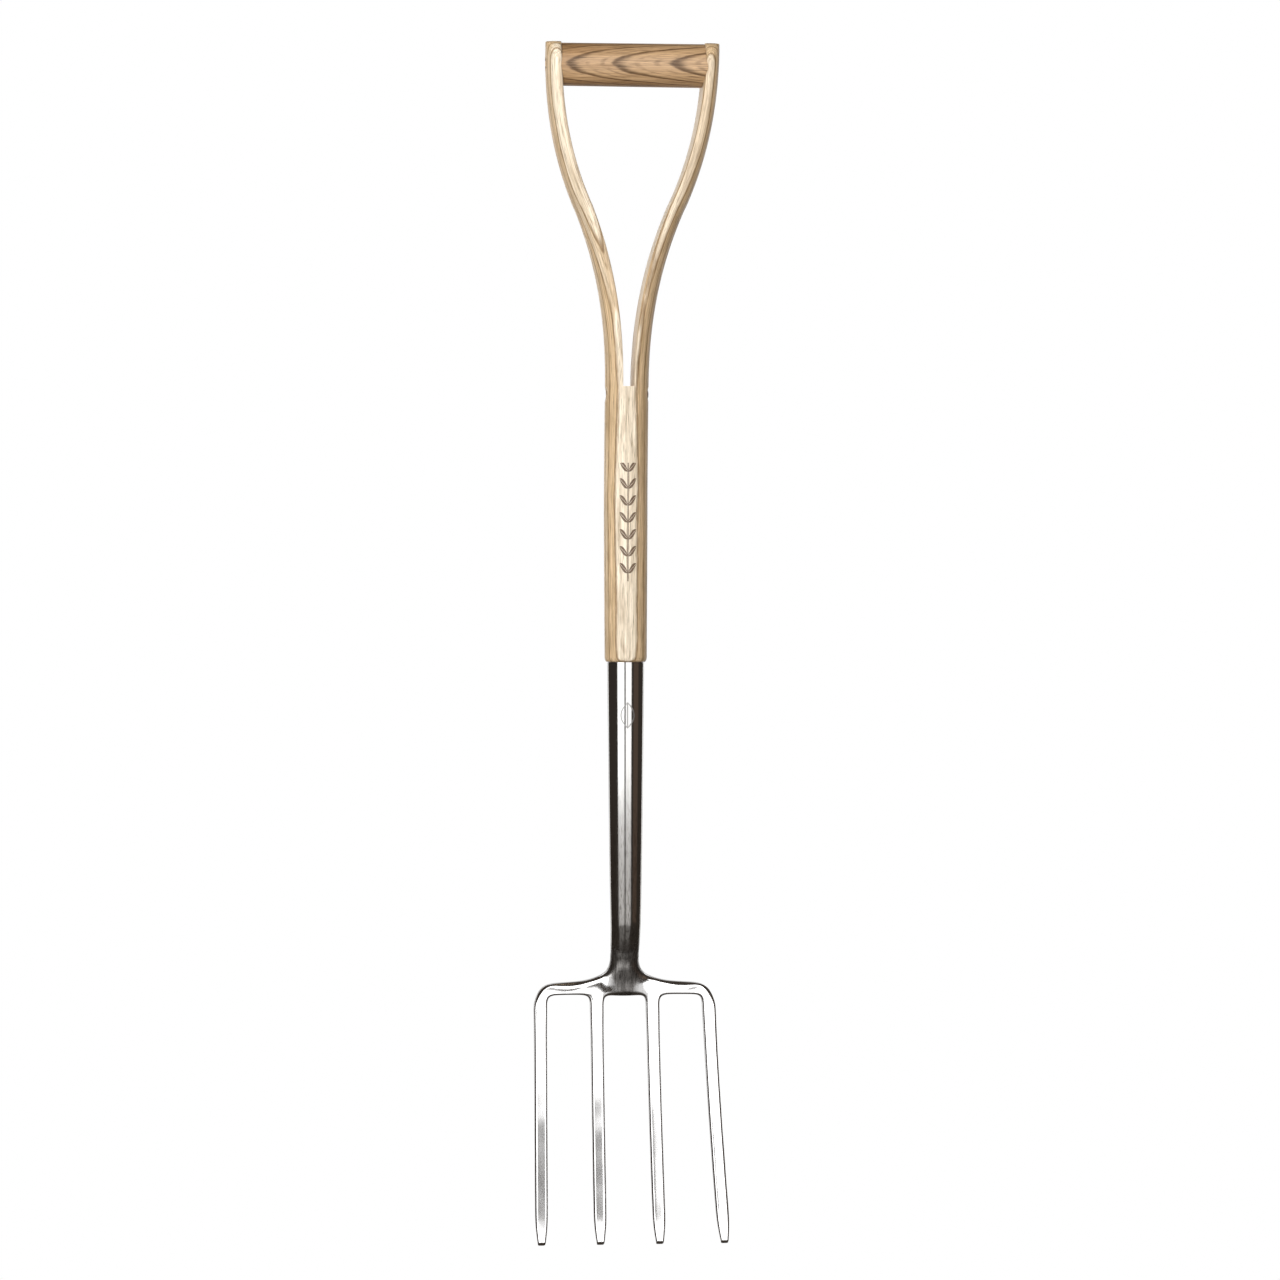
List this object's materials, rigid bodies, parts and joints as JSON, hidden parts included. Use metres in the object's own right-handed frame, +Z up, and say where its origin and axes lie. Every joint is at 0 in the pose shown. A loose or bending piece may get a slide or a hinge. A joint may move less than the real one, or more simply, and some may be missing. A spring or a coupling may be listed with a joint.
{
  "type": "digging fork",
  "caption": "Digging fork: forged head with four tines, long tapered steel socket and a split ash shaft that forms a Y with a turned grip.",
  "frame": {"origin": "under the middle of the grip, where a hook or a hand carries the tool", "axes": "+Z up along the straight shaft with the grip at the top; the tines' concave front faces -Y; +X to the right seen from the front"},
  "size_m": [0.1677, 0.0974, 1.0349],
  "materials": {
    "head_steel": "polished stainless, ground tine fronts",
    "socket_steel": "polished stainless with lengthwise grinding lines",
    "weld_metal": "coarsely ground",
    "ash": "oiled ash, straight grain",
    "ash_grip": "oiled ash, arched grain",
    "rivet_steel": "dulled steel"
  },
  "bodies": {
    "root": {"fork_head": "head_steel", "socket_tube": "socket_steel", "neck_weld": "weld_metal", "ash_shaft": "ash", "grip": "ash_grip", "grip_rivet": "rivet_steel", "throat_rivet": "rivet_steel", "socket_rivet": "rivet_steel"}
  },
  "joints": []
}
